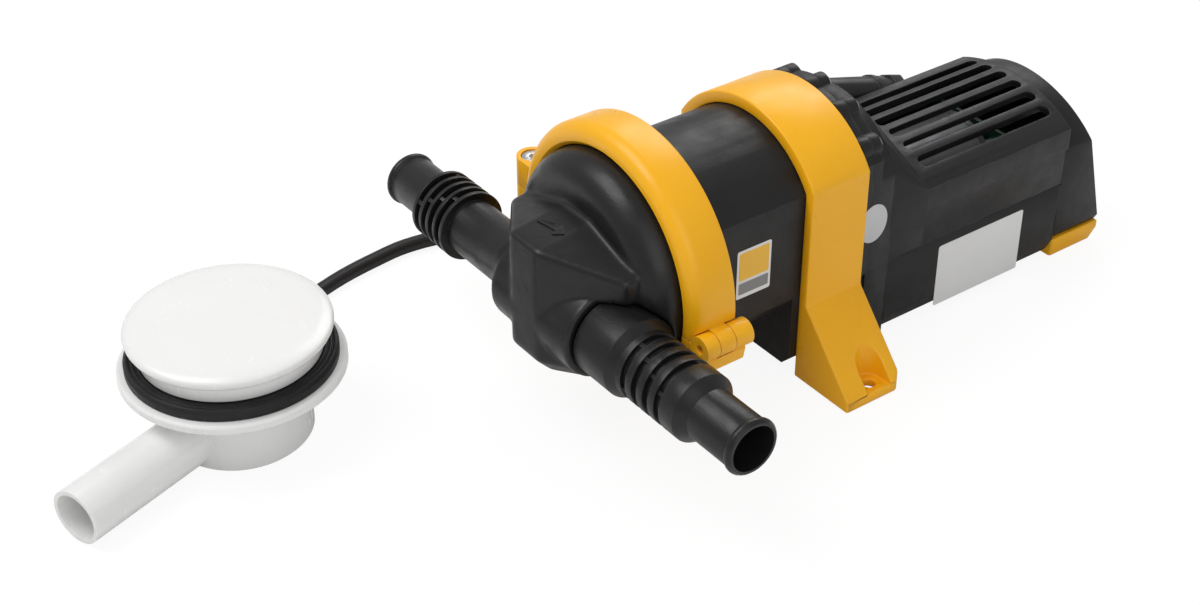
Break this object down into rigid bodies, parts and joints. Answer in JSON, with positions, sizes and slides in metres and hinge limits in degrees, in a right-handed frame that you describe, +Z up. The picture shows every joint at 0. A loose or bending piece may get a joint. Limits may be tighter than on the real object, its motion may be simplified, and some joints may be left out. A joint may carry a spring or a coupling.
{
  "type": "shower sump pump",
  "caption": "Electric diaphragm pump on a saddle mount, with hose tails both sides, a swivelling clamped head and a sensing shower drain on a coiled lead.",
  "frame": {"origin": "midway between the saddle's two screw holes, on the mounting surface", "axes": "+X towards the outlet hose tail, +Y along the pump from its head to its motor, +Z up from the mounting surface"},
  "size_m": [0.229, 0.418, 0.1086],
  "materials": {
    "black_moulding": "fine-grained black glass-filled nylon",
    "black_head": "smooth satin black plastic",
    "yellow_plastic": "smooth amber yellow plastic",
    "white_plastic": "glossy white plastic",
    "black_rubber": "matt moulded rubber",
    "cable_sheath": "smooth flexible PVC sheath",
    "zinc_steel": "zinc plated steel",
    "pale_nylon": "natural nylon",
    "cast_alloy": "die-cast alloy",
    "bearing_bronze": "sintered bronze",
    "motor_steel": "dark plated steel",
    "lamination_steel": "stacked laminations",
    "copper": "copper",
    "board_green": "lacquered circuit board",
    "dark_plastic": "dark thermoplastic"
  },
  "bodies": {
    "root": {"diaphragm": "black_rubber", "body_housing": "black_moulding", "mount_saddle": "yellow_plastic", "clamp_lower": "yellow_plastic", "clamp_hinge_pin": "zinc_steel", "gear_cover": "black_moulding", "flange_screws": "zinc_steel", "gear_plate": "cast_alloy", "crank_bearings": "bearing_bronze", "motor_bushes": "bearing_bronze", "motor_front_bell": "cast_alloy", "motor_can": "motor_steel", "motor_rear_bell": "dark_plastic", "motor_magnets": "motor_steel", "brushes": "copper", "plate_screws": "zinc_steel", "control_board": "board_green", "motor_cover_upper": "black_moulding", "motor_cover_lower": "black_moulding", "end_cap": "black_moulding", "rear_foot": "yellow_plastic", "cable_gland": "black_head", "gland_nut": "black_head", "lead_pump_stretch": "cable_sheath", "lead_coil": "cable_sheath", "lead_drain_stretch": "cable_sheath", "drain_body": "white_plastic", "drain_gland": "white_plastic", "drain_sensor": "dark_plastic", "drain_gasket": "black_rubber", "drain_strainer": "white_plastic", "drain_screw": "zinc_steel"},
    "head": {"head_housing": "black_head", "inlet_tail": "black_head", "outlet_tail": "black_head", "tail_o_rings": "black_rubber", "inlet_valve": "black_rubber", "outlet_valve": "black_rubber"},
    "clamp": {"clamp_upper": "yellow_plastic", "clamp_screw": "zinc_steel"},
    "crank": {"crankshaft": "zinc_steel", "worm_wheel": "pale_nylon"},
    "rotor": {"motor_shaft": "zinc_steel", "worm": "bearing_bronze", "armature": "lamination_steel", "armature_windings": "copper", "commutator": "copper"},
    "rod": {"connecting_rod": "pale_nylon", "diaphragm_plates": "zinc_steel", "diaphragm_screw": "zinc_steel"},
    "cap": {"drain_cap": "white_plastic"}
  },
  "joints": [
    {"name": "head_swivel", "type": "hinge", "parent": "root", "child": "head", "pos_m": [0, -0.07, 0.057], "axis": [0, 1, 0], "range_deg": [-20, 20]},
    {"name": "clamp_open", "type": "hinge", "parent": "root", "child": "clamp", "pos_m": [0.054, -0.07, 0.051], "axis": [0, 1, 0], "range_deg": [0, 90]},
    {"name": "crank_spin", "type": "hinge", "parent": "root", "child": "crank", "pos_m": [0, -0.004, 0.057], "axis": [1, 0, 0], "continuous": true},
    {"name": "rotor_spin", "type": "hinge", "parent": "root", "child": "rotor", "pos_m": [0, 0.04, 0.036], "axis": [0, 1, 0], "continuous": true},
    {"name": "rod_pin", "type": "hinge", "parent": "crank", "child": "rod", "pos_m": [0, 0.001, 0.057], "axis": [1, 0, 0], "continuous": true},
    {"name": "cap_lift", "type": "slide", "parent": "root", "child": "cap", "axis": [0, 0, 1], "range_m": [0, 0.02]}
  ],
  "couplings": [
    {"joint": "rotor_spin", "follows": "crank_spin", "ratio": 18},
    {"joint": "rod_pin", "follows": "crank_spin", "ratio": -1}
  ]
}
